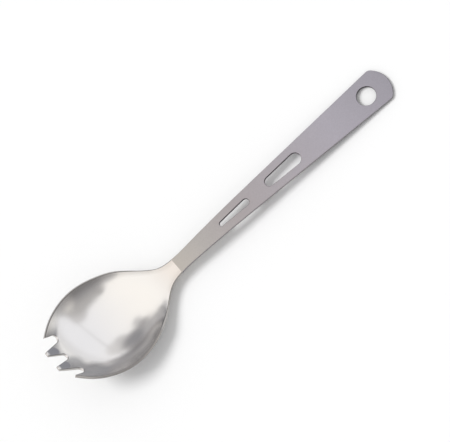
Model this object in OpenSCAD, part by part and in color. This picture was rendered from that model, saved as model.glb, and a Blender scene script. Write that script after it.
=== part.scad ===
// One-piece metal spork, pressed from a single blank.
// The handle lies along X and the tines point to +X. The underside of the bowl and the
// lower edge of the handle's end both stand on the plane z = 0.

/* [Sheet] */
// Thickness of the metal sheet
sheet_t = 1.2; // [0.9:0.05:1.5]

/* [Handle] */
// Length of the handle, from its end to the line where the bowl's finish begins
handle_l = 107.2; // [100:0.5:120]
// Width of the handle where its sides would meet its end
handle_end_w = 15.3; // [14:0.1:18]
// Width of the handle at the line where the bowl's finish begins
neck_w = 6.9; // [6.4:0.1:8]
// Radius of the shallow arc that closes the handle
end_arc_r = 9.6; // [9:0.1:14]
// Radius of the two corners of the handle's end
end_corner_r = 1.6; // [0.8:0.1:2.4]
// Angle at which the handle rises from the table, in degrees
handle_rise_deg = 3.8; // [3:0.1:4.5]
// Distance from the handle's end at which it starts to bend down to the bowl
bend_from = 71; // [70:1:80]
// Radius of that bend
bend_r = 260; // [220:1:320]
// Length over which the sides turn from their taper to the flare of the bowl
side_ease_l = 6; // [4:0.5:10]

/* [Hang hole] */
// Diameter of the hang hole
hang_hole_d = 7.7; // [5:0.1:8.5]
// Distance of the hang hole's centre from the handle's end
hang_hole_from_end = 10.5; // [9:0.1:13]

/* [Slots] */
// Width of metal left between a slot's round ends and the handle's side
slot_web = 3.1; // [2.6:0.1:3.6]
// Distance from the handle's end to the centre of the large slot's wide end
large_slot_from = 46.7; // [42:0.1:50]
// Distance between the centres of the large slot's two round ends
large_slot_l = 12.6; // [6:0.1:16]
// Distance from the handle's end to the centre of the small slot's wide end
small_slot_from = 71.5; // [70:0.1:76]
// Distance between the centres of the small slot's two round ends
small_slot_l = 12.1; // [6:0.1:14]

/* [Bowl] */
// Length of the bowl's inner surface in plan, from the finish line to the tine tips
bowl_l = 57.3; // [52:0.1:64]
// Width of the bowl over its rim
bowl_w = 38.4; // [36:0.1:44]
// Greatest height of the rim over the middle of the bowl
bowl_depth = 9.6; // [7:0.1:11]
// Height of the inner tines' tips over the bottom of the bowl
tip_rise = 19.4; // [15:0.1:21]

/* [Tines] */
// Length of an inner tine along the sheet, from the root of the middle notch
tine_l = 7.8; // [6.5:0.1:9]
// Distance between the centres of the two inner tine tips
tine_tip_pitch = 6.7; // [6.4:0.1:8]
// Width of an inner tine at its blunt tip
tine_tip_w = 1.4; // [1:0.1:1.8]
// Thickness of an inner tine at its tip, where its inner face is ground away
tine_tip_t = 0.95; // [0.7:0.05:1.05]
// Length of the hollow facet ground into the inner face of an inner tine
facet_l = 5.7; // [4:0.1:6.4]
// Radius of that hollow facet across the tine
facet_r = 12; // [8:0.5:16]
// Radius at the root of the middle notch
middle_root_r = 1.4; // [1:0.1:1.8]
// Radius at the root of each outer notch
outer_root_r = 1.6; // [1:0.1:2]
// Distance from the middle of the bowl to the centre of an outer notch's root
outer_notch_y = 8.1; // [7.6:0.1:8.6]
// Length of an outer notch along the sheet, from its root to the level of the tips
outer_notch_l = 10.4; // [8.5:0.1:11.5]

/* [Hidden] */

// Slope of each side, in plan, where the bowl begins to widen
flare_share = 0.085;
// Control values of the rim's half width, from the neck to the tips
rim_w_shares = [0.51, 0.77, 0.92, 1.01, 1.01, 0.91, 0.72, 0.33];
// Control values of the bowl's middle line over its lowest point, as shares of tip_rise
// The three low values put the curve's lowest point on a knot, at a height of nought
middle_z_shares = [0.20, 0.10, 0.02, -0.01, 0.02, 0.10, 0.26, 0.56, 1];
// Control values of the rim's height over the middle line, as shares of bowl_depth
rim_z_shares = [0, 0, 0, 0.54, 0.75, 0.93, 1.03, 0.97, 0.62, 0.06];
// Part of the rim's height that grows with the square of the distance from the middle
square_share = 0.75;

// Counts of the bowl's mesh: rows along it, strips across it, points on a small arc
bowl_rows = 44;
bowl_strips = 26;
arc_steps = 10;
bend_steps = 12;
// Step for the slopes of the curved surface, as a share of the bowl's length
probe_share = 0.0005;
probe = probe_share * bowl_l;
// Overrun of every cut past the surface that it leaves
cut_over = 2;
// Clear height of the blocks that trim the handle to its plan and its side view
trim_h = 2 * (sheet_t + handle_l * tan(handle_rise_deg));

// Plan of the handle
end_half_w = handle_end_w / 2;
neck_half_w = neck_w / 2;
taper = (end_half_w - neck_half_w + flare_share * side_ease_l / 2) / (handle_l - side_ease_l / 2);

// Half width of the handle at a distance from its end
function handle_half_w(x) =
    let (back = handle_l - x)
    back > side_ease_l
        ? end_half_w - taper * x
        : neck_half_w - flare_share * back
            + (taper + flare_share) * back * back / (2 * side_ease_l);

// Side view of the handle: slope and height of its upper face
function handle_slope(x) =
    tan(handle_rise_deg) - max(x - bend_from, 0) / bend_r;
function handle_top(x) =
    sheet_t / cos(handle_rise_deg) + tan(handle_rise_deg) * x
        - pow(max(x - bend_from, 0), 2) / (2 * bend_r);
function handle_slope_deg(x) = atan(handle_slope(x));
function upright_t(slope) = sheet_t * sqrt(1 + slope * slope);

neck_z = handle_top(handle_l);
neck_slope = handle_slope(handle_l);

// Uniform cubic spline that starts at its first control value and ends at its last
function spline(c, t) =
    let (
        n = len(c),
        p = concat([2 * c[0] - c[1]], c, [2 * c[n - 1] - c[n - 2]]),
        q = min(max(t, 0), 1) * (n - 1),
        i = min(floor(q), n - 2),
        f = q - i
    )
    (pow(1 - f, 3) * p[i]
        + (3 * pow(f, 3) - 6 * pow(f, 2) + 4) * p[i + 1]
        + (-3 * pow(f, 3) + 3 * pow(f, 2) + 3 * f + 1) * p[i + 2]
        + pow(f, 3) * p[i + 3]) / 6;

// The bowl's three curves, each led out of the neck without a kink
rim_w_step = bowl_l / (len(rim_w_shares) + 1);
rim_w_controls = concat(
    [neck_half_w, neck_half_w + flare_share * rim_w_step],
    rim_w_shares * bowl_w / 2);
middle_z_step = bowl_l / (len(middle_z_shares) + 1);
middle_z_controls = concat(
    [neck_z, neck_z + neck_slope * middle_z_step],
    [for (s = middle_z_shares) sheet_t + s * tip_rise]);
rim_z_controls = rim_z_shares * bowl_depth;

function bowl_t(x) = (x - handle_l) / bowl_l;
function rim_half_w(x) = spline(rim_w_controls, bowl_t(x));
function bowl_top(x, y) =
    let (v = y / rim_half_w(x))
    spline(middle_z_controls, bowl_t(x))
        + spline(rim_z_controls, bowl_t(x))
            * (square_share * pow(v, 2) + (1 - square_share) * pow(v, 4));

// Slopes of the bowl's inner surface along X and Y, taken towards the neck
function slope_x(x, y) = (bowl_top(x, y) - bowl_top(x - probe, y)) / probe;
function slope_y(x, y) = (bowl_top(x, y + probe) - bowl_top(x, y - probe)) / (2 * probe);

// Points of the inner surface and, one sheet thickness behind it, of the outer one
function inner_point(x, v) =
    let (y = v * rim_half_w(x))
    [x, y, bowl_top(x, y)];
function outer_point(x, v) =
    let (
        p = inner_point(x, v),
        sx = slope_x(x, p[1]),
        sy = slope_y(x, p[1]),
        n = [-sx, -sy, 1] / norm([-sx, -sy, 1])
    )
    x == handle_l
        ? p - [0, 0, upright_t(neck_slope)]
        : p - sheet_t * n;

// Full length of the spork, out to the outer edge of the tine tips
tip_x = handle_l + bowl_l;
tip_point = outer_point(tip_x, tine_tip_pitch / 2 / rim_half_w(tip_x));
spork_l = tip_point[0];

// Outline of the handle in plan, one side, from the middle of its end to the neck
end_lean = sqrt(1 + taper * taper);
corner_reach = end_half_w - end_corner_r * end_lean;
corner_sum = end_arc_r + corner_reach * taper;
corner_x = (corner_sum - sqrt(pow(corner_sum, 2) - pow(end_lean, 2)
    * (pow(end_arc_r, 2) + pow(corner_reach, 2) - pow(end_arc_r - end_corner_r, 2))))
    / pow(end_lean, 2);
corner_y = corner_reach - taper * corner_x;
arc_end_deg = atan2(corner_y, corner_x - end_arc_r);
side_deg = atan2(1, taper);

end_arc_points = [
    for (i = [0 : arc_steps])
        let (a = 180 + (arc_end_deg - 180) * i / arc_steps)
        [end_arc_r + end_arc_r * cos(a), end_arc_r * sin(a)]
];
corner_points = [
    for (i = [1 : arc_steps])
        let (a = arc_end_deg + (side_deg - arc_end_deg) * i / arc_steps)
        [corner_x + end_corner_r * cos(a), corner_y + end_corner_r * sin(a)]
];
neck_points = [
    for (i = [0 : arc_steps])
        let (x = handle_l - side_ease_l * (1 - i / arc_steps))
        [x, handle_half_w(x)]
];
side_points = concat(end_arc_points, corner_points, neck_points);

// The same points, taken backwards and mirrored to the other side
function mirrored(points) =
    [for (i = [len(points) - 1 : -1 : 0]) [points[i][0], -points[i][1]]];

module handle_plan() {
    polygon(concat(side_points, mirrored([for (i = [1 : len(side_points) - 1]) side_points[i]])));
}

// Sheet seen from the side: straight to the bend, then an easy curve down to the neck
bend_xs = [for (i = [0 : bend_steps]) bend_from + (handle_l - bend_from) * i / bend_steps];
side_xs = concat([-cut_over], bend_xs);

module handle_side() {
    polygon(concat(
        [for (x = side_xs) [x, handle_top(x)]],
        [for (i = [len(side_xs) - 1 : -1 : 0])
            let (x = side_xs[i])
            [x, handle_top(x) - upright_t(handle_slope(x))]]));
}

// Places a cut square to the flat part of the handle
module on_handle(x) {
    translate([x, 0, handle_top(x)])
        rotate([0, -handle_slope_deg(x), 0])
            children();
}

// Slot with a wide and a narrow round end, each one web inside the handle's side
module slot_cut(from, length) {
    middle = from + length / 2;
    half = length / 2;
    wide_r = handle_half_w(from) - slot_web;
    narrow_r = handle_half_w(from + length) - slot_web;
    on_handle(middle)
        linear_extrude(2 * (sheet_t + cut_over), center = true)
            hull() {
                translate([-half, 0])
                    circle(wide_r, $fn = 32);
                translate([half, 0])
                    circle(narrow_r, $fn = 32);
            }
}

// Handle: flat tapered bar with the hang hole and two slots
module handle() {
    color("#a9a5a8")
        translate([-spork_l / 2, 0, 0])
            difference() {
                intersection() {
                    linear_extrude(trim_h)
                        handle_plan();
                    rotate([90, 0, 0])
                        linear_extrude(2 * handle_end_w, center = true)
                            handle_side();
                }
                on_handle(hang_hole_from_end)
                    cylinder(h = 2 * (sheet_t + cut_over), d = hang_hole_d, center = true, $fn = 96);
                slot_cut(large_slot_from, large_slot_l);
                slot_cut(small_slot_from, small_slot_l);
            }
}

// Bowl before the notches are cut: one curved sheet between two grids of points
row_n = bowl_strips + 1;
sheet_n = (bowl_rows + 1) * row_n;
row_xs = [for (i = [0 : bowl_rows]) handle_l + bowl_l * i / bowl_rows];
strip_vs = [for (j = [0 : bowl_strips]) 2 * j / bowl_strips - 1];
bowl_points = concat(
    [for (x = row_xs) for (v = strip_vs) inner_point(x, v)],
    [for (x = row_xs) for (v = strip_vs) outer_point(x, v)]);

// Two triangles for a four-cornered patch, clockwise as seen from outside
function patch(a, b, c, d) = [[a, b, c], [a, c, d]];

bowl_faces = [
    for (i = [0 : bowl_rows - 1]) for (j = [0 : bowl_strips - 1])
        let (k = i * row_n + j)
        each concat(
            patch(k, k + 1, k + row_n + 1, k + row_n),
            patch(sheet_n + k, sheet_n + k + row_n, sheet_n + k + row_n + 1, sheet_n + k + 1)),
    for (i = [0 : bowl_rows - 1])
        let (k = i * row_n, m = k + bowl_strips)
        each concat(
            patch(k, k + row_n, sheet_n + k + row_n, sheet_n + k),
            patch(m, sheet_n + m, sheet_n + m + row_n, m + row_n)),
    for (j = [0 : bowl_strips - 1])
        let (m = bowl_rows * row_n + j)
        each concat(
            patch(j, sheet_n + j, sheet_n + j + 1, j + 1),
            patch(m, m + 1, sheet_n + m + 1, sheet_n + m))
];

// Places a cut square to the bowl's surface, with its own x axis climbing the tines
module on_bowl(x, y) {
    sx = slope_x(x, y);
    sy = slope_y(x, y);
    translate([x, y, bowl_top(x, y)])
        rotate([asin(sy / norm([sx, sy, 1])), -atan(sx), 0])
            children();
}

// Notch with a round root, whose two sides run out to the level of the tips and past it
module notch_cut(root_r, length, open_low, open_high) {
    run = length - root_r;
    past = (run + cut_over) / run;
    linear_extrude(2 * (sheet_t + cut_over), center = true) {
        translate([root_r, 0])
            circle(root_r, $fn = 48);
        polygon([
            [root_r, -root_r],
            [root_r + run * past, -root_r + (open_low + root_r) * past],
            [root_r + run * past, root_r + (open_high - root_r) * past],
            [root_r, root_r]
        ]);
    }
}

// Distances of the notch roots from the tine tips, in plan
tip_slope = slope_x(tip_x, 0);
tine_lean = sqrt(1 + tip_slope * tip_slope);
middle_root_x = tip_x - tine_l / tine_lean;
outer_root_x = tip_x - outer_notch_l / tine_lean;

// Sides of the inner tines at their tips, from the middle of the bowl
tine_inner_y = (tine_tip_pitch - tine_tip_w) / 2;
tine_outer_y = (tine_tip_pitch + tine_tip_w) / 2;

// Hollow facet that thins an inner tine from its inner face towards its tip
module facet_cut() {
    facet_drop = sheet_t - tine_tip_t;
    facet_lean = asin(facet_drop / facet_l);
    facet_mid_y = tine_tip_pitch / 2;
    on_bowl(tip_x, facet_mid_y)
        translate([-facet_l * cos(facet_lean), 0, 0])
            rotate([0, facet_lean, 0])
                translate([-facet_l, 0, facet_r])
                    rotate([0, 90, 0])
                        cylinder(h = 2 * facet_l + cut_over, r = facet_r, $fn = 96);
}

// Bowl: deep oval with two slim inner tines and a pointed outer tine at each side
module bowl() {
    color("#e6e2dc")
        translate([-spork_l / 2, 0, 0])
            difference() {
                polyhedron(bowl_points, bowl_faces);
                on_bowl(middle_root_x, 0)
                    notch_cut(middle_root_r, tine_l, -tine_inner_y, tine_inner_y);
                for (m = [0, 1])
                    mirror([0, m, 0]) {
                        on_bowl(outer_root_x, outer_notch_y)
                            notch_cut(outer_root_r, outer_notch_l,
                                tine_outer_y - outer_notch_y, outer_root_r);
                        facet_cut();
                    }
            }
}

bowl();
handle();
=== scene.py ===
"""Looks of a one-piece titanium spork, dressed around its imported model.

Sizes are in millimetres until a finished mesh is scaled to metres. Plan distances run from
the handle's end (0) to the tine tips, as on a drawing, and Z is up from the table.
"""
import math

import bmesh
import bpy
from mathutils import Matrix, Vector


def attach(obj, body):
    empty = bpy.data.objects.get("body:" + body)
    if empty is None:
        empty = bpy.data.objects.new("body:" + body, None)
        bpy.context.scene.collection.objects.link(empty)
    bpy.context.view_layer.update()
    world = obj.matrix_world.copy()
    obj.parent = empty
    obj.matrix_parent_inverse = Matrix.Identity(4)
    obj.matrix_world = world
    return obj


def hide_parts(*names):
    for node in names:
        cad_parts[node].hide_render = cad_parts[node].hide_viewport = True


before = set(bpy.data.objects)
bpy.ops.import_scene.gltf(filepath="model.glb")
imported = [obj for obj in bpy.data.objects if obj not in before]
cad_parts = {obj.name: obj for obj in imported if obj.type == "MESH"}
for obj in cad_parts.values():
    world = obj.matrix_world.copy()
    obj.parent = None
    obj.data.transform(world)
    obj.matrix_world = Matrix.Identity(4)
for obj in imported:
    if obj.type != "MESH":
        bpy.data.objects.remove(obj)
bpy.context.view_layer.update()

MM = 0.001

# Sheet and handle
SHEET_T = 1.2
HANDLE_L = 107.2
HANDLE_END_W = 15.3
NECK_W = 6.9
END_ARC_R = 9.6
END_CORNER_R = 1.6
HANDLE_RISE = math.radians(3.8)
BEND_FROM = 71.0
BEND_R = 260.0
SIDE_EASE_L = 6.0
FLARE = 0.085

# Hang hole and slots: the middle of each slot's wide end, and how far its narrow end is
HOLE_R = 3.85
HOLE_FROM_END = 10.5
SLOT_WEB = 3.1
SLOTS = [(46.7, 12.6), (71.5, 12.1)]

# Bowl and tines. The shares hold at even steps along the bowl: of its half width, of the
# tips' rise for its middle line, and of its depth for the rim over that line
BOWL_L = 57.3
BOWL_W = 38.4
BOWL_DEPTH = 9.6
TIP_RISE = 19.4
RIM_W_SHARES = [0.51, 0.77, 0.92, 1.01, 1.01, 0.91, 0.72, 0.33]
MIDDLE_Z_SHARES = [0.20, 0.10, 0.02, -0.01, 0.02, 0.10, 0.26, 0.56, 1.0]
RIM_Z_SHARES = [0.0, 0.0, 0.0, 0.54, 0.75, 0.93, 1.03, 0.97, 0.62, 0.06]
SQUARE_SHARE = 0.75
TINE_L = 7.8
TINE_TIP_PITCH = 6.7
TINE_TIP_W = 1.4
TINE_TIP_T = 0.95
FACET_L = 6.1
FACET_R = 30.0
MIDDLE_ROOT_R = 1.4
OUTER_ROOT_R = 1.6
OUTER_NOTCH_Y = 8.1
OUTER_NOTCH_L = 10.4

# Rounding that tumbling leaves on the edges, at most a share of the metal beside it, and the
# width and slant of the outer tines' points
HANDLE_EDGE_R = 0.15
RIM_EDGE_R = 0.32
TINE_EDGE_R = 0.28
EDGE_R_SHARE = 0.4
POINT_W = 0.25
POINT_SLANT = 0.06

# What the materials tell apart: the depth over which a facet's painted dark and roughness fade
# in, the depth past which they leave its end again, the strip along the outline, and the ends
# of the tines
FACET_EDGE = 0.02
FACET_DEEP = 0.215
BRIM_W = 3.2
TIP_END_L = 1.0

# Mesh: steps round an edge, length of a handle row, how far rows lean beside an opening, and
# how close points are merged before and after the edges are made
EDGE_STEPS = 5
ROW_L = 0.9
ROW_LEAN = 2.8
MERGE = 0.003
FINE_MERGE = 0.0005

# Sums: the step that slopes are taken over, a length that counts as nought, how many rounds
# settle a place, and how many halvings find an end
PROBE = 0.02
HAIR = 1e-6
SETTLE_ROUNDS = 14
HALVINGS = 30

# Sizes that follow from those above
TIP_X = HANDLE_L + BOWL_L
END_HALF_W = HANDLE_END_W / 2
NECK_HALF_W = NECK_W / 2
TAPER = (END_HALF_W - NECK_HALF_W + FLARE * SIDE_EASE_L / 2) / (HANDLE_L - SIDE_EASE_L / 2)


# The two surfaces of the sheet's upper side

class HandleSurface:
    """Upper face of the handle: straight, then bent down to the neck."""

    @staticmethod
    def half_w(x):
        back = HANDLE_L - x
        if back > SIDE_EASE_L:
            return END_HALF_W - TAPER * x
        return (NECK_HALF_W - FLARE * back
                + (TAPER + FLARE) * back * back / (2 * SIDE_EASE_L))

    @staticmethod
    def slope(x):
        return math.tan(HANDLE_RISE) - max(x - BEND_FROM, 0) / BEND_R

    @staticmethod
    def top(x):
        straight = SHEET_T / math.cos(HANDLE_RISE) + math.tan(HANDLE_RISE) * x
        return straight - max(x - BEND_FROM, 0) ** 2 / (2 * BEND_R)

    def point(self, place):
        return Vector((place.x, place.y, self.top(place.x)))

    def normal(self, place):
        return Vector((-self.slope(place.x), 0, 1)).normalized()

    @staticmethod
    def ground(place):
        return 0.0


def spline(controls, t):
    """Uniform cubic spline from the first control value to the last."""
    n = len(controls)
    p = [2 * controls[0] - controls[1], *controls, 2 * controls[-1] - controls[-2]]
    q = min(max(t, 0), 1) * (n - 1)
    i = min(int(q), n - 2)
    f = q - i
    return ((1 - f) ** 3 * p[i] + (3 * f ** 3 - 6 * f ** 2 + 4) * p[i + 1]
            + (-3 * f ** 3 + 3 * f ** 2 + 3 * f + 1) * p[i + 2] + f ** 3 * p[i + 3]) / 6


class BowlSurface:
    """Inner face of the bowl, led out of the handle's neck without a kink."""

    def __init__(self, handle):
        w_step = BOWL_L / (len(RIM_W_SHARES) + 1)
        z_step = BOWL_L / (len(MIDDLE_Z_SHARES) + 1)
        neck_z = handle.top(HANDLE_L)
        self.rim_w = [NECK_HALF_W, NECK_HALF_W + FLARE * w_step,
                      *[share * BOWL_W / 2 for share in RIM_W_SHARES]]
        self.middle_z = [neck_z, neck_z + handle.slope(HANDLE_L) * z_step,
                         *[SHEET_T + share * TIP_RISE for share in MIDDLE_Z_SHARES]]
        self.rim_z = [share * BOWL_DEPTH for share in RIM_Z_SHARES]
        self.tip_slope = (self.top(TIP_X, 0) - self.top(TIP_X - PROBE, 0)) / PROBE

    def half_w(self, x):
        return spline(self.rim_w, (x - HANDLE_L) / BOWL_L)

    def top(self, x, y):
        t = (x - HANDLE_L) / BOWL_L
        v = y / self.half_w(x)
        across = SQUARE_SHARE * v ** 2 + (1 - SQUARE_SHARE) * v ** 4
        past = max(x - TIP_X, 0)
        rise = past * self.tip_slope if past else 0
        return spline(self.middle_z, t) + spline(self.rim_z, t) * across + rise

    def point(self, place):
        return Vector((place.x, place.y, self.top(place.x, place.y)))

    def normal(self, place):
        x, y = place.x, place.y
        x0, x1 = max(x - PROBE, HANDLE_L), min(x + PROBE, TIP_X)
        slope_x = (self.top(x1, y) - self.top(x0, y)) / (x1 - x0)
        slope_y = (self.top(x, y + PROBE) - self.top(x, y - PROBE)) / (2 * PROBE)
        return Vector((-slope_x, -slope_y, 1)).normalized()

    def ground(self, place):
        """Depth of the hollow facet ground into the inner face of an inner tine. It deepens
        evenly towards the tip and is shallower at its sides, so its back is round."""
        side = math.copysign(TINE_TIP_PITCH / 2, place.y)
        tip = Template(self, TIP_X, side)
        offset = self.point(place) - tip.origin
        along, across = offset.dot(tip.along), offset.dot(tip.across)
        if abs(across) > TINE_TIP_PITCH / 2 or along < -2 * FACET_L:
            return 0.0
        lean = math.asin((SHEET_T - TINE_TIP_T) / FACET_L)
        over = (along + FACET_L) * math.sin(lean)
        return max(0.0, over - (FACET_R - math.sqrt(FACET_R ** 2 - across ** 2)))


class Template:
    """Flat cutting template laid square on the sheet, its first axis climbing the tines."""

    def __init__(self, surface, x, y):
        place = Vector((x, y))
        self.surface = surface
        self.origin = surface.point(place)
        self.out = surface.normal(place)
        self.along = Vector((self.out.z, 0, -self.out.x)).normalized()
        self.across = self.out.cross(self.along)

    def place(self, along, across):
        """Place on the sheet, in plan, that lies under a point of the template."""
        want = self.origin + self.along * along + self.across * across
        at = want.xy
        for _ in range(SETTLE_ROUNDS):
            miss = want - self.surface.point(at)
            at = at + (miss - self.out * miss.dot(self.out)).xy
        return at


# Outlines in plan, as lists of places

def stretch(low, high, count):
    """Numbers at even steps from low to high."""
    return [low + (high - low) * i / count for i in range(count + 1)]


def line(a, b, count):
    """Places at even steps from a to b."""
    return [a.lerp(b, i / count) for i in range(count + 1)]


def last_share(inside):
    """Largest share of a line at which inside still holds."""
    low, high = 0.0, 1.0
    for _ in range(HALVINGS):
        half = (low + high) / 2
        low, high = (half, high) if inside(half) else (low, half)
    return low


class Notch:
    """Outline of a notch with a round root, on its own template. The body's mesh takes the
    root, as far as its split on each side, and the tines' meshes take the rest."""

    SPLIT = math.radians(50)
    OVERRUN = 1.2

    def __init__(self, surface, x, y, root_r, length):
        self.template = Template(surface, x, y)
        self.root_r, self.length = root_r, length

    def arc(self, start, end, count):
        """Places on the root, by angle from its deepest point."""
        r = self.root_r
        return [self.template.place(r - r * math.cos(a), r * math.sin(a))
                for a in stretch(start, end, count)]

    def side(self, opening, inside, arc_count, line_count):
        """Places from the split of the root along one side, while inside holds."""
        r, run = self.root_r, self.length - self.root_r
        turn = math.copysign(1, opening)
        lean = math.atan2(abs(opening), run) - math.asin(r / math.hypot(run, opening))
        tangent = math.pi / 2 - lean
        start = Vector((r - r * math.cos(tangent), turn * r * math.sin(tangent)))
        reach = self.length * self.OVERRUN
        way = Vector((math.cos(lean), turn * math.sin(lean))) * reach
        end = last_share(lambda share: inside(self.template.place(*(start + way * share))))
        straight = [self.template.place(*(start + way * share))
                    for share in stretch(0, end, line_count)]
        return self.arc(turn * self.SPLIT, turn * tangent, arc_count)[:-1] + straight


def inset(surface, outline, facing, radii):
    """The outline moved into the sheet by the edge's rounding, towards the facing places."""
    points = [surface.point(place) for place in outline]
    moved = []
    for i, (point, other, r) in enumerate(zip(points, facing, radii)):
        way = points[min(i + 1, len(points) - 1)] - points[max(i - 1, 0)]
        into = surface.normal(outline[i]).cross(way).normalized()
        if into.dot(surface.point(other) - point) < 0:
            into.negate()
        moved.append(outline[i] + into.xy * r)
    return moved


def patch_places(low, high, start, end):
    """Places of a grid between four edges that share their corners: rows run from start
    to end, and each row from low to high."""
    rows, columns = len(low) - 1, len(start) - 1
    grid = []
    for i in range(rows + 1):
        u = i / rows
        for j in range(columns + 1):
            v = j / columns
            corners = start[0].lerp(start[-1], v).lerp(end[0].lerp(end[-1], v), u)
            grid.append(low[i].lerp(high[i], v) + start[j].lerp(end[j], u) - corners)
    return grid


# Meshes

class Sheet:
    """A piece of the blank, built as half of its upper side, mirrored and closed.

    The mesh keeps shares that the materials read: edge is how far a place lies round a cut
    edge, side how far that edge looks across the spork, facet the ground facet, steep the
    slope of the sheet, flank how far it looks at the middle line, near how far it looks to
    the far side, and brim how close the outline is.
    """

    VECTORS = ("reach", "base", "down")
    SHARES = ("edge", "side", "facet", "steep", "flank", "near", "brim")

    def __init__(self, surface):
        self.surface = surface
        self.bm = bmesh.new()
        for name in self.VECTORS:
            self.bm.verts.layers.float_vector.new(name)
        for name in ("ground", *self.SHARES):
            self.bm.verts.layers.float.new(name)

    def layer(self, name):
        layers = self.bm.verts.layers
        return layers.float_vector[name] if name in self.VECTORS else layers.float[name]

    def add_patch(self, columns, places, rim):
        """Adds a grid of the upper side. rim gives, for the places at a cut edge, the
        point of the outline that the rounding reaches."""
        rows = len(places) // (columns + 1) - 1
        made = bmesh.ops.create_grid(self.bm, x_segments=columns, y_segments=rows, size=0.5)
        reach = self.layer("reach")
        for vert in made["verts"]:
            i = round((vert.co.y + 0.5) * rows)
            j = round((vert.co.x + 0.5) * columns)
            vert.co = self.surface.point(places[i * (columns + 1) + j])
            if (i, j) in rim:
                vert[reach] = self.surface.point(rim[i, j]) - vert.co

    def mirror(self):
        bm, reach = self.bm, self.layer("reach")
        bmesh.ops.remove_doubles(bm, verts=bm.verts, dist=MERGE)
        bmesh.ops.mirror(bm, geom=[*bm.verts, *bm.edges, *bm.faces], axis="Y",
                         merge_dist=MERGE)
        for vert in bm.verts:
            if vert.co.y < 0:
                vert[reach] = vert[reach] * Vector((1, -1, 1))

    def across(self, point, reach, low):
        """How far a cut face looks across the spork: 1 on the rim and the sides of the tines,
        0 at the roots of the notches and at the tines' ends but for their lower edge."""
        if not reach.length:
            return 0.0
        outside = abs(point.y) > self.surface.half_w(point.x) - 2 * RIM_EDGE_R
        if outside or low and point.x > TIP_X - TIP_END_L:
            return 1.0
        return min(1.0, abs(reach.y) / reach.length)

    def close(self):
        """Adds the rounded edges, the under side and the face at the joint."""
        bm = self.bm
        reach, base, down = map(self.layer, self.VECTORS)
        edge, side, facet, steep, flank, near, brim = map(self.layer, self.SHARES)
        ground = self.layer("ground")
        for vert in bm.verts:
            place = vert.co.xy
            out = self.surface.normal(place)
            vert[base] = vert.co
            vert[down] = -out
            if abs(place.x - HANDLE_L) < PROBE:
                vert[down] = Vector((0, 0, -1 / out.z))
            vert[steep] = math.degrees(math.acos(out.z)) / 90
            vert[flank] = -out.y * math.copysign(1, place.y)
            vert[near] = -out.y
            inside = self.surface.half_w(place.x) - abs(place.y)
            vert[brim] = max(0, 1 - inside / BRIM_W)
            vert[ground] = self.surface.ground(place)
        upper = list(bm.faces)
        rim = [e for e in bm.edges if e.is_boundary
               and not all(abs(v.co.x - HANDLE_L) < PROBE for v in e.verts)]
        under = bmesh.ops.duplicate(bm, geom=[*bm.verts, *bm.edges, *upper])["geom"]
        bmesh.ops.reverse_faces(bm, faces=[g for g in under
                                           if isinstance(g, bmesh.types.BMFace)])
        for vert in (g for g in under if isinstance(g, bmesh.types.BMVert)):
            vert.co = vert[base] + vert[down] * SHEET_T
        for vert in {v for face in upper for v in face.verts}:
            vert.co = vert[base] + vert[down] * vert[ground]
            depth = vert[ground]
            vert[facet] = max(0, min(1, depth / FACET_EDGE, (FACET_DEEP - depth) / FACET_EDGE))
        quarter = stretch(0, math.pi / 2, EDGE_STEPS)
        steps = [(a, False) for a in quarter[1:]] + [(a, True) for a in reversed(quarter)]
        for angle, low in steps:
            made = bmesh.ops.extrude_edge_only(bm, edges=rim)["geom"]
            fresh = {g for g in made if isinstance(g, bmesh.types.BMVert)}
            rim = [g for g in made if isinstance(g, bmesh.types.BMEdge)
                   and fresh.issuperset(g.verts)]
            for vert in fresh:
                r = min(vert[reach].length, EDGE_R_SHARE * (SHEET_T - vert[ground]))
                drop = r * (1 - math.cos(angle))
                depth = SHEET_T - drop if low else vert[ground] + drop
                vert.co = vert[base] + vert[reach] * math.sin(angle) + vert[down] * depth
                vert[edge] = math.sin(angle)
                vert[side] = self.across(vert[base], vert[reach], low)
                vert[facet] = 0
        bmesh.ops.remove_doubles(bm, verts=bm.verts, dist=FINE_MERGE)
        joint = [e for e in bm.edges if e.is_boundary]
        bmesh.ops.contextual_create(bm, geom=joint)
        for e in joint:
            e.smooth = False
        bmesh.ops.recalc_face_normals(bm, faces=bm.faces)

    def finish(self, name, node, slot, material):
        """Makes the object: in metres, in the model's frame, riding on its body."""
        bm = self.bm
        bmesh.ops.translate(bm, verts=bm.verts, vec=(-SPORK_L / 2, 0, 0))
        bmesh.ops.scale(bm, verts=bm.verts, vec=(MM, MM, MM))
        for layer in self.VECTORS:
            bm.verts.layers.float_vector.remove(self.layer(layer))
        bm.verts.layers.float.remove(self.layer("ground"))
        mesh = bpy.data.meshes.new(name)
        bm.to_mesh(mesh)
        bm.free()
        mesh.shade_smooth()
        mesh.materials.append(material)
        piece = bpy.data.objects.new(name, mesh)
        bpy.context.scene.collection.objects.link(piece)
        piece.modifiers.new("Even shading", "WEIGHTED_NORMAL").keep_sharp = True
        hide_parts(node)
        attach(piece, "root")


handle_surface = HandleSurface()
bowl_surface = BowlSurface(handle_surface)
TINE_LEAN = math.hypot(1, bowl_surface.tip_slope)
TIP_OUT = bowl_surface.normal(Vector((TIP_X, TINE_TIP_PITCH / 2)))
SPORK_L = TIP_X - SHEET_T * TIP_OUT.x


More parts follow.
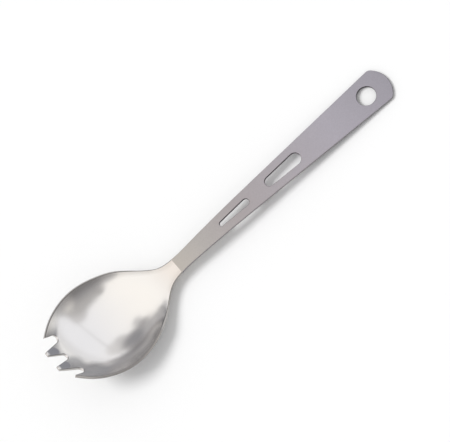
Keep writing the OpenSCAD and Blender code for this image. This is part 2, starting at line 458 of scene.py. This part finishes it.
def build_handle(material):
    """Handle: a strip of sheet between its own outline and the line through its middle,
    which goes round the hang hole and the slots."""
    sheet = Sheet(handle_surface)
    end_n, corner_n, side_n = 60, 24, 400
    hole_n, wide_n, straight_n, narrow_n = 36, 12, 18, 10
    columns, least_rows = 8, 6

    # Middle of the corner's rounding, which touches the end's arc and the tapered side
    lean = math.hypot(1, TAPER)
    reach_y = END_HALF_W - END_CORNER_R * lean
    total = END_ARC_R + reach_y * TAPER
    corner_x = (total - math.sqrt(total ** 2 - lean ** 2 * (
        END_ARC_R ** 2 + reach_y ** 2 - (END_ARC_R - END_CORNER_R) ** 2))) / lean ** 2
    corner = Vector((corner_x, reach_y - TAPER * corner_x))
    arc_end = math.atan2(corner.y, corner.x - END_ARC_R)
    side_turn = math.atan2(1, TAPER)

    # The outline of one side, dense, with its length for spacing
    outline = [Vector((END_ARC_R + END_ARC_R * math.cos(a), END_ARC_R * math.sin(a)))
               for a in stretch(math.pi, arc_end, end_n)]
    outline += [corner + END_CORNER_R * Vector((math.cos(a), math.sin(a)))
                for a in stretch(arc_end, side_turn, corner_n)[1:]]
    outline += [Vector((x, handle_surface.half_w(x)))
                for x in stretch(outline[-1].x, HANDLE_L, side_n)[1:]]
    lengths = [0.0]
    for a, b in zip(outline, outline[1:]):
        lengths.append(lengths[-1] + (b - a).length)

    def at_length(s):
        i = max(k for k in range(len(lengths) - 1) if lengths[k] <= s)
        return outline[i].lerp(outline[i + 1], (s - lengths[i]) / (lengths[i + 1] - lengths[i]))

    def length_at_x(x):
        return next(s for s, place in zip(lengths, outline) if place.x >= x)

    # Inner line, with the outline's length that each stretch of it faces
    hole_end = HOLE_FROM_END + HOLE_R
    inner = [(Vector((HOLE_FROM_END + HOLE_R * math.cos(a), HOLE_R * math.sin(a))), True)
             for a in stretch(math.pi, 0, hole_n)]
    facing = stretch(0, length_at_x(hole_end + ROW_LEAN), hole_n)
    here = hole_end
    for start, length in SLOTS:
        wide_r = handle_surface.half_w(start) - SLOT_WEB
        narrow_r = handle_surface.half_w(start + length) - SLOT_WEB
        turn = math.asin((wide_r - narrow_r) / length)
        slot_start, slot_end = start - wide_r, start + length + narrow_r
        steps = max(least_rows, round((slot_start - here) / ROW_L))
        inner += [(Vector((x, 0)), False) for x in stretch(here, slot_start, steps)[1:-1]]
        facing += stretch(facing[-1], length_at_x(slot_start - ROW_LEAN), steps)[1:]
        round_in = [Vector((start + wide_r * math.cos(a), wide_r * math.sin(a)))
                    for a in stretch(math.pi, math.pi / 2 - turn, wide_n)]
        round_out = [Vector((start + length + narrow_r * math.cos(a), narrow_r * math.sin(a)))
                     for a in stretch(math.pi / 2 - turn, 0, narrow_n)]
        straight = line(round_in[-1], round_out[0], straight_n)[1:-1]
        slot = round_in + straight + round_out
        inner += [(place, True) for place in slot]
        facing += stretch(facing[-1], length_at_x(slot_end + ROW_LEAN), len(slot) - 1)[1:]
        here = slot_end
    steps = round((HANDLE_L - here) / ROW_L)
    inner += [(Vector((x, 0)), False) for x in stretch(here, HANDLE_L, steps)[1:]]
    facing += stretch(facing[-1], lengths[-1] - HAIR, steps)[1:]

    outer = [at_length(s) for s in facing]
    cut = [place for place, _ in inner]
    outer_in = inset(handle_surface, outer, cut, [HANDLE_EDGE_R] * len(outer))
    inner_in = inset(handle_surface, cut, outer, [HANDLE_EDGE_R] * len(cut))
    low, rim = [], {}
    for i, (place, is_cut) in enumerate(inner):
        low.append(inner_in[i] if is_cut else place)
        if is_cut:
            if abs(place.y) < HAIR:
                ahead = -1 if (i == 0 or not inner[i - 1][1]) else 1
                low[i] = place + Vector((ahead * HANDLE_EDGE_R, 0))
            rim[i, 0] = place
        rim[i, columns] = outer[i]
    outer_in[0] = outer[0] + Vector((HANDLE_EDGE_R, 0))
    outer_in[-1] = outer[-1] - Vector((0, HANDLE_EDGE_R))
    places = patch_places(low, outer_in, line(low[0], outer_in[0], columns),
                          line(low[-1], outer_in[-1], columns))
    sheet.add_patch(columns, places, rim)
    sheet.mirror()
    sheet.close()
    sheet.finish("handle_body", "handle", "bead_blasted", material)


def build_bowl(material):
    """Bowl: its body, an inner tine and an outer tine of one half, mirrored."""
    s = bowl_surface
    sheet = Sheet(s)
    middle = Notch(s, TIP_X - TINE_L / TINE_LEAN, 0, MIDDLE_ROOT_R, TINE_L)
    outer = Notch(s, TIP_X - OUTER_NOTCH_L / TINE_LEAN, OUTER_NOTCH_Y, OUTER_ROOT_R,
                  OUTER_NOTCH_L)
    tine_in_y, tine_out_y = ((TINE_TIP_PITCH + w) / 2 for w in (-TINE_TIP_W, TINE_TIP_W))

    body_rows, tine_rows, point_rows = 92, 24, 14
    middle_n, tine_n, outer_n, point_n = 4, 12, 8, 9

    def before_tip(place):
        return place.x < TIP_X

    # Cut edges of the tines, from the split of each root
    tine_arc = 4
    tine_low = middle.side(tine_in_y, before_tip, tine_arc, tine_rows - tine_arc)
    tine_high = outer.side(tine_out_y - OUTER_NOTCH_Y, before_tip, tine_arc,
                           tine_rows - tine_arc)
    for edge in (tine_low, tine_high):
        edge[-1] = Vector((TIP_X, edge[-1].y))
    point_low = outer.side(OUTER_ROOT_R, lambda p: s.half_w(p.x) - p.y > POINT_W,
                           tine_arc, point_rows - tine_arc)

    # The rim, from the neck to where the outer tine starts, and from there to its point
    split_share = 0.4
    rim_split = outer.template.place(OUTER_ROOT_R * split_share, OUTER_ROOT_R).x
    point_end = point_low[-1].x + POINT_SLANT
    rim_body = [Vector((x, s.half_w(x))) for x in stretch(HANDLE_L, rim_split, body_rows)]
    rim_point = [Vector((x, s.half_w(x))) for x in stretch(rim_split, point_end, point_rows)]

    def widths(low, high):
        return [(s.point(a) - s.point(b)).length for a, b in zip(low, high)]

    tine_r = [min(TINE_EDGE_R, EDGE_R_SHARE * w) for w in widths(tine_low, tine_high)]
    point_w = widths(point_low, rim_point)
    point_r = [min(TINE_EDGE_R, EDGE_R_SHARE * w) for w in point_w]
    rim_r = [min(RIM_EDGE_R, EDGE_R_SHARE * w) for w in point_w]

    tine_low_in = inset(s, tine_low, tine_high, tine_r)
    tine_high_in = inset(s, tine_high, tine_low, tine_r)
    point_low_in = inset(s, point_low, rim_point, point_r)
    rim_point_in = inset(s, rim_point, point_low, rim_r)
    rim_body_in = inset(s, rim_body, [Vector((p.x, 0)) for p in rim_body],
                        [RIM_EDGE_R] * len(rim_body))
    rim_body_in[0] = rim_body[0] - Vector((0, RIM_EDGE_R))
    rim_body_in[-1] = rim_point_in[0]

    # Root arcs at the front of the body
    middle_arc = middle.arc(0, Notch.SPLIT, middle_n)
    outer_arc = outer.arc(-Notch.SPLIT, Notch.SPLIT, outer_n)
    back = Vector((TINE_L, 0))
    behind_middle = [place - back for place in middle_arc]
    behind_outer = [place - back for place in outer_arc]
    middle_arc_in = inset(s, middle_arc, behind_middle, [TINE_EDGE_R] * len(middle_arc))
    outer_arc_in = inset(s, outer_arc, behind_outer, [TINE_EDGE_R] * len(outer_arc))
    middle_arc_in[0] = middle_arc[0] - Vector((TINE_EDGE_R * s.normal(middle_arc[0]).z, 0))
    middle_arc_in[-1] = tine_low_in[0]
    outer_arc_in[0], outer_arc_in[-1] = tine_high_in[0], point_low_in[0]

    tine_base = line(tine_low_in[0], tine_high_in[0], tine_n)
    point_base = line(point_low_in[0], rim_point_in[0], point_n)
    front = middle_arc_in + tine_base[1:] + outer_arc_in[1:] + point_base[1:]
    columns = len(front) - 1
    rim = {}
    for j, place in enumerate(middle_arc):
        rim[body_rows, j] = place
    for j, place in enumerate(outer_arc):
        rim[body_rows, middle_n + tine_n + j] = place
    for i, place in enumerate(rim_body):
        rim[i, columns] = place
    centre = line(Vector((HANDLE_L, 0)), front[0], body_rows)
    neck = line(centre[0], rim_body_in[0], columns)
    sheet.add_patch(columns, patch_places(centre, rim_body_in, neck, front), rim)

    # Inner tine: its blunt tip is a cut edge too
    tip_back = TINE_EDGE_R / TINE_LEAN
    for edge in (tine_low_in, tine_high_in):
        edge[-1] = Vector((TIP_X - tip_back, edge[-1].y))
    tip = line(tine_low_in[-1], tine_high_in[-1], tine_n)
    rim = {}
    for i in range(tine_rows + 1):
        rim[i, 0], rim[i, tine_n] = tine_low[i], tine_high[i]
    for j, place in enumerate(line(tine_low[-1], tine_high[-1], tine_n)):
        rim[tine_rows, j] = place
    sheet.add_patch(tine_n, patch_places(tine_low_in, tine_high_in, tine_base, tip), rim)

    # Outer tine, running out to its point
    end = line(point_low_in[-1], rim_point_in[-1], point_n)
    rim = {}
    for i in range(point_rows + 1):
        rim[i, 0], rim[i, point_n] = point_low[i], rim_point[i]
    for j, place in enumerate(line(point_low[-1], rim_point[-1], point_n)):
        rim[point_rows, j] = place
    sheet.add_patch(point_n, patch_places(point_low_in, rim_point_in, point_base, end), rim)

    sheet.mirror()
    sheet.close()
    sheet.finish("bowl_body", "bowl", "polished", material)


# Materials and studio light

class Signal:
    """Number that changes over a surface, read from a socket and used in expressions."""

    def __init__(self, socket):
        self.socket = socket

    def math(self, operation, *values):
        tree = self.socket.id_data
        node = tree.nodes.new("ShaderNodeMath")
        node.operation = operation
        for slot, value in zip(node.inputs, values):
            if isinstance(value, Signal):
                tree.links.new(value.socket, slot)
            else:
                slot.default_value = value
        return Signal(node.outputs[0])

    def __add__(self, other):
        return self.math("ADD", self, other)

    def __sub__(self, other):
        return self.math("SUBTRACT", self, other)

    def __mul__(self, other):
        return self.math("MULTIPLY", self, other)

    def __truediv__(self, other):
        return self.math("DIVIDE", self, other)

    def __rsub__(self, other):
        return self.math("SUBTRACT", other, self)

    def __rtruediv__(self, other):
        return self.math("DIVIDE", other, self)

    def __abs__(self):
        return self.math("ABSOLUTE", self)

    __radd__ = __add__
    __rmul__ = __mul__


class Recipe:
    """Nodes of one material or of the world."""

    def __init__(self, owner):
        owner.use_nodes = True
        self.tree = owner.node_tree
        self.tree.nodes.clear()

    def node(self, kind, settings=None, inputs=None):
        """Adds a node: first its settings, then the values or links of its sockets."""
        node = self.tree.nodes.new("ShaderNode" + kind)
        for name, value in (settings or {}).items():
            if name == "stops":
                ramp = node.color_ramp.elements
                while len(ramp) < len(value):
                    ramp.new(0.5)
                for stop, (at, color) in zip(ramp, value):
                    stop.position = at
                    stop.color = (*color, 1)
            else:
                setattr(node, name, value)
        for name, value in (inputs or {}).items():
            if isinstance(value, Signal):
                self.tree.links.new(value.socket, node.inputs[name])
            else:
                node.inputs[name].default_value = value
        return node

    def signal(self, kind, settings=None, inputs=None, output=0):
        return Signal(self.node(kind, settings, inputs).outputs[output])

    def soft_step(self, value, start, end):
        """0 before start and 1 past end, eased between them."""
        return self.signal("MapRange", {"interpolation_type": "SMOOTHSTEP"},
                           {"Value": value, "From Min": start, "From Max": end})

    def blend(self, share, first, second, how="MIX"):
        """Colour between two others."""
        return self.signal("Mix", {"data_type": "RGBA", "blend_type": how},
                           {0: share, 6: first, 7: second}, output=2)

    def facing(self, way, direction):
        """How far a direction of the world agrees with another, from -1 to 1."""
        return self.signal("VectorMath", {"operation": "DOT_PRODUCT"},
                           {0: way, 1: direction}, output="Value")


class Metal(Recipe):
    """Bare metal, whose finish is worked out from places on the object."""

    def __init__(self, name):
        self.material = bpy.data.materials.new(name)
        super().__init__(self.material)
        self.places = self.signal("TexCoord", output="Object")

    def grain(self, grains_per_mm, detail=2.0, scale=(1, 1, 1)):
        """Fine noise about nought, with this many grains to a millimetre."""
        place = self.signal("Mapping", {"vector_type": "TEXTURE"},
                            {"Vector": self.places, "Scale": scale})
        noise = self.signal("TexNoise", None, {"Vector": place, "Detail": detail,
                                               "Scale": grains_per_mm / MM})
        return noise - 0.5

    def share(self, name):
        """Share that the mesh keeps, as the sheet names it."""
        return self.signal("Attribute", {"attribute_name": name}, output="Fac")

    def along(self):
        """Distance from the middle of the spork's length towards the tines, in metres."""
        return self.signal("SeparateXYZ", None, {"Vector": self.places}, output="X")

    def spot(self, place, outer, inner):
        """1 within the inner distance of a place on the spork, 0 past the outer, in mm."""
        place = (place[0] * MM, place[1] * MM, place[2] * MM)
        far = self.signal("VectorMath", {"operation": "DISTANCE"},
                          {0: self.places, 1: place}, output="Value")
        return self.soft_step(far, outer * MM, inner * MM)

    def finish(self, color, roughness, height, depth_mm):
        bump = self.signal("Bump", None, {"Height": height, "Distance": depth_mm * MM})
        shader = self.signal("BsdfPrincipled", None, {
            "Base Color": color, "Roughness": roughness, "Normal": bump, "Metallic": 1.0})
        self.node("OutputMaterial", None, {"Surface": shader})
        return self.material


def bead_blasted():
    """Even matt grain, with painted shading along the handle: a little violet and darker at the
    handle's end, warmer and lighter at the neck. The cut edges have painted shade, darker most
    of all inside the hang hole and the slots."""
    metal = Metal("Bead-blasted titanium")
    pits = metal.grain(7, detail=3)
    cloud = metal.grain(0.12, detail=4)
    # Painted shading along the handle: darker and violet at its end, lighter and warmer at the
    # neck, standing in for how light falls along the bent handle
    tone_and_painted_shading = metal.signal("ValToRGB", {"stops": [
        (0.0, (0.370, 0.355, 0.392)), (0.27, (0.445, 0.422, 0.465)),
        (0.72, (0.437, 0.402, 0.405)), (0.88, (0.482, 0.457, 0.438)),
        (1.0, (0.53, 0.495, 0.455))]}, {
        "Fac": (metal.along() + SPORK_L / 2 * MM) / (HANDLE_L * MM)})
    speckle = metal.grain(1.8, detail=2)
    shade = 1 + pits * 0.22 + speckle * 0.16 + cloud * 0.10
    grey = metal.signal("CombineColor", None, {"Red": shade, "Green": shade, "Blue": shade})
    color = metal.blend(1.0, tone_and_painted_shading, grey, "MULTIPLY")
    edge = metal.share("edge")
    # Painted shade on the cut faces: the edges are darkened
    color = metal.blend(edge, color, (0.27, 0.255, 0.265, 1))
    # Painted shade in recesses: the cut faces inside the hang hole and the slots, away from the
    # outline, are near black
    inner = metal.soft_step(metal.share("brim"), 0.5, 0.3)
    color = metal.blend(edge * inner, color, (0.07, 0.06, 0.07, 1))
    roughness = 0.47 + cloud * 0.10
    return metal.finish(color, roughness, pits, 0.02)


# Painted dark reflections behind the near tines: place, outer and inner radius in mm, and
# strength
PAINTED_DARK_REFLECTIONS = [((73, 12, 14), 8, 4, 0.9), ((77, 4.5, 14), 5.5, 2, 0.8)]


def polished():
    """Bright on the floor of the bowl, with painted dark reflections up its steep walls and
    front, along the far rim and behind the near tines, and a warmer neck; the steep walls are a
    little rougher too. It has the fine lines that the polishing wheel leaves across it and
    hairline scratches. The cut edges are painted grey with a painted dark line round their
    rounding, but bright at the roots and tips of the tines. The facets are only ground, so
    rougher, and painted dark for the darker reflection they give."""
    metal = Metal("Polished titanium")
    lines = metal.grain(1.6, detail=4, scale=(1, 14, 3))
    cloud = metal.grain(0.10, detail=3)
    scratch = metal.grain(2.4, detail=2, scale=(9, 1, 1))
    hairline = metal.soft_step(abs(scratch), 0.012, 0.0) * metal.soft_step(cloud, 0.0, 0.1)
    joint = HANDLE_L - SPORK_L / 2
    neck = metal.soft_step(metal.along(), (joint + 14) * MM, (joint + 1) * MM)
    near, flank, steep, brim, edge, side, facet = map(
        metal.share, ("near", "flank", "steep", "brim", "edge", "side", "facet"))
    # Painted dark reflection on the near wall, where it looks to the far side
    near_wall_painted_reflection = metal.soft_step(near, 0.39, 0.57)
    # Painted dark reflection up the steep side walls, which are also a little rougher
    wall = metal.soft_step(flank, 0.56, 0.72)
    # Painted dark reflection on the steep front of the bowl
    front = metal.soft_step(steep, 0.590, 0.620) * (1 - metal.soft_step(flank, 0.35, 0.55))
    # Painted dark reflection along the far rim
    far_rim_painted_reflection = metal.soft_step(brim, 0.0, 1.1) * metal.soft_step(near, 0.04, -0.04)

    color = metal.blend(0.5 + cloud, (0.80, 0.785, 0.765, 1), (0.84, 0.82, 0.795, 1))
    color = metal.blend(neck, color, (0.79, 0.735, 0.685, 1))
    color = metal.blend(near_wall_painted_reflection, color, (0.40, 0.395, 0.40, 1))
    color = metal.blend(wall, color, (0.52, 0.51, 0.51, 1))
    color = metal.blend(front, color, (0.34, 0.335, 0.34, 1))
    for place, outer, inner, strength in PAINTED_DARK_REFLECTIONS:
        # Painted dark reflection in a spot behind the near tines
        dark_reflection = metal.spot(place, outer, inner) * strength
        color = metal.blend(dark_reflection, color, (0.34, 0.34, 0.35, 1))
    color = metal.blend(far_rim_painted_reflection, color, (0.74, 0.73, 0.72, 1), "MULTIPLY")
    color = metal.blend(edge * (1 - side), color, (0.80, 0.77, 0.76, 1))
    # Painted dark reflection: the cut faces that look across the spork are grey
    color = metal.blend(edge * side, color, (0.45, 0.435, 0.42, 1))
    # Painted dark reflection: a dark line round the middle of each edge's rounding
    color = metal.blend(edge * (1 - edge) * side * 4, color, (0.15, 0.14, 0.13, 1))
    # Painted dark reflection on the ground facets, which are also rougher
    color = metal.blend(facet, color, (0.28, 0.28, 0.30, 1))
    roughness = (0.18 + lines * 0.10 + cloud * 0.08 + hairline * 0.05 + wall * 0.06
                 + facet * 0.18)
    return metal.finish(color, roughness, lines + hairline * -0.3, 0.004)


def floor_paper():
    """White paper: its own colour, lit like any other surface, so it keeps the shadow."""
    material = bpy.data.materials.new("White paper")
    recipe = Recipe(material)
    shader = recipe.signal("BsdfDiffuse", None, {"Color": (0.9, 0.9, 0.9, 1)})
    recipe.node("OutputMaterial", None, {"Surface": shader})
    return material


def toward(azimuth, zenith):
    """Direction from the table: azimuth is from the tines to the bowl's near side."""
    a, z = math.radians(azimuth), math.radians(zenith)
    return Vector((math.sin(z) * math.cos(a), math.sin(z) * math.sin(a), math.cos(z)))


# Width of the paper on the table
FLOOR_W = 500

# Key lamp: where it stands, its share of the table's light, how wide it looks, and the
# strength that lights a table fully from straight above. The white tent gives the fill.
KEY_AZIMUTH = -40
KEY_ZENITH = 30
KEY_SHARE = 0.46
KEY_WIDE = math.radians(28)
FULL_SUN = 3.14
FILL = 0.66

# Seams between the tent's panels: across, how far from the middle, width, and colour
SEAMS = [
    ((0.89, 0.24, 0.39), -0.384, 0.045, (0.78, 0.78, 0.80, 1)),
    ((0.28, 0.24, 0.93), -0.228, 0.035, (0.82, 0.82, 0.84, 1)),
]

# Round screens and a lit panel, as the bowl mirrors them: azimuth, zenith, radius of the even
# middle and of the soft edge in degrees, and colour. A later one covers an earlier one.
SCREENS = [
    # Far side of the table, mirrored in the near wall
    (-112, 60, 5, 20, (0.78, 0.77, 0.78, 1)),
    (-107, 47, 4, 11, (0.70, 0.69, 0.70, 1)),
    (-86, 62, 12, 23, (0.43, 0.42, 0.43, 1)),
    (-80, 84, 12, 25, (0.43, 0.42, 0.43, 1)),
    (-66, 42, 2, 10, (0.66, 0.65, 0.66, 1)),
    (-66, 54, 4, 11, (0.43, 0.42, 0.43, 1)),
    (-68, 66, 6, 12, (0.50, 0.49, 0.50, 1)),
    (-87, 60, 5, 17, (0.31, 0.31, 0.33, 1)),
    (-83, 92, 7, 15, (0.22, 0.22, 0.23, 1)),
    # Near side of the table, mirrored in the far wall
    (136, 58, 5, 20, (0.66, 0.65, 0.66, 1)),
    (101, 80, 31, 46, (0.50, 0.49, 0.49, 1)),
    (83, 50, 5, 12, (0.48, 0.47, 0.47, 1)),
    (57, 66, 5, 13, (0.68, 0.67, 0.67, 1)),
    (108, 88, 9, 19, (0.42, 0.41, 0.41, 1)),
    (125, 80, 2, 12, (0.95, 0.92, 0.88, 1)),
]


def studio():
    """White tent over the table, with grey screens at both sides and greyer below the
    table's edge, as the bowl mirrors it. The tent is warmer over the tines than over the
    handle. The camera sees plain white past the table."""
    world = bpy.data.worlds.new("Studio")
    bpy.context.scene.world = world
    recipe = Recipe(world)
    way = recipe.signal("TexCoord", output="Generated")
    lengthwise = recipe.facing(way, (1, 0, 0))
    height = recipe.facing(way, (0, 0, 1))
    color = recipe.blend(recipe.soft_step(lengthwise, -1.0, 0.9), (0.99, 1.0, 1.045, 1),
                         (1.19, 1.16, 1.12, 1))
    for across, at, width, seam_color in SEAMS:
        off = recipe.facing(way, across) - at
        color = recipe.blend(recipe.soft_step(abs(off), width, 0.0), color, seam_color)
    for azimuth, zenith, inner, outer, screen_color in SCREENS:
        disc = recipe.soft_step(recipe.facing(way, toward(azimuth, zenith)),
                                math.cos(math.radians(outer)),
                                math.cos(math.radians(inner)))
        color = recipe.blend(disc, color, screen_color)
    color = recipe.blend(recipe.soft_step(height, 0.14, -0.04), color, (0.80, 0.80, 0.82, 1))
    path = recipe.node("LightPath")
    seen = Signal(path.outputs["Is Camera Ray"])
    mirrored = Signal(path.outputs["Is Glossy Ray"])
    shown = recipe.signal("Background", None, {"Color": color})
    white = recipe.signal("Background", None, {"Color": (1, 1, 1, 1)})
    fill = recipe.signal("Background", None, {"Color": (1, 1, 1, 1), "Strength": FILL})
    lit = recipe.signal("MixShader", None, {0: mirrored, 1: fill, 2: shown})
    whole = recipe.signal("MixShader", None, {0: seen, 1: lit, 2: white})
    recipe.node("OutputWorld", None, {"Surface": whole})


def key_lamp():
    """Soft lamp, which throws the shadow on the table. The metal mirrors the tent alone."""
    data = bpy.data.lights.new("Key lamp", "SUN")
    data.energy = FULL_SUN * KEY_SHARE / math.cos(math.radians(KEY_ZENITH))
    data.angle = KEY_WIDE
    lamp = bpy.data.objects.new("Key lamp", data)
    bpy.context.scene.collection.objects.link(lamp)
    lamp.visible_glossy = False
    way = toward(KEY_AZIMUTH, KEY_ZENITH)
    lamp.matrix_world = way.to_track_quat("Z", "Y").to_matrix().to_4x4()


def lay_floor():
    """Sheet of white paper on the table."""
    mesh = bpy.data.meshes.new("floor")
    bm = bmesh.new()
    bmesh.ops.create_grid(bm, x_segments=1, y_segments=1, size=FLOOR_W / 2 * MM)
    bm.to_mesh(mesh)
    bm.free()
    mesh.materials.append(floor_paper())
    floor = bpy.data.objects.new("floor", mesh)
    bpy.context.scene.collection.objects.link(floor)


# Camera: the photograph's place, directions and lens, and the middle of its view in pixels
CAMERA_AT = Vector((29.38, 299.32, 799.78))
BACK = Vector((-0.0625, 0.35214, 0.93386))
RIGHT = Vector((-0.73347, 0.61844, -0.28205))
FOCAL_PX = 2236.8
IMAGE_W, IMAGE_H = 450, 442
CENTRE_PX = (224.04, 221.87)


def set_camera():
    """Camera at the photograph's angle, turned a little so that its view needs no shift."""
    turn_x = (IMAGE_W / 2 - CENTRE_PX[0]) / FOCAL_PX
    turn_y = (CENTRE_PX[1] - IMAGE_H / 2) / FOCAL_PX
    back = (BACK - RIGHT * turn_x - BACK.cross(RIGHT) * turn_y).normalized()
    right = (RIGHT - back * RIGHT.dot(back)).normalized()
    up = back.cross(right)
    data = bpy.data.cameras.new("Camera")
    data.sensor_fit = "HORIZONTAL"
    data.sensor_width = 36
    data.lens = data.sensor_width * FOCAL_PX / IMAGE_W
    data.clip_start = 0.05
    camera = bpy.data.objects.new("Camera", data)
    bpy.context.scene.collection.objects.link(camera)
    place = (CAMERA_AT - Vector((SPORK_L / 2, 0, 0))) * MM
    turn = Matrix((right, up, back)).transposed().to_4x4()
    camera.matrix_world = Matrix.Translation(place) @ turn
    bpy.context.scene.camera = camera


build_handle(bead_blasted())
build_bowl(polished())
lay_floor()
studio()
key_lamp()
set_camera()
bpy.context.scene.view_settings.view_transform = "Standard"
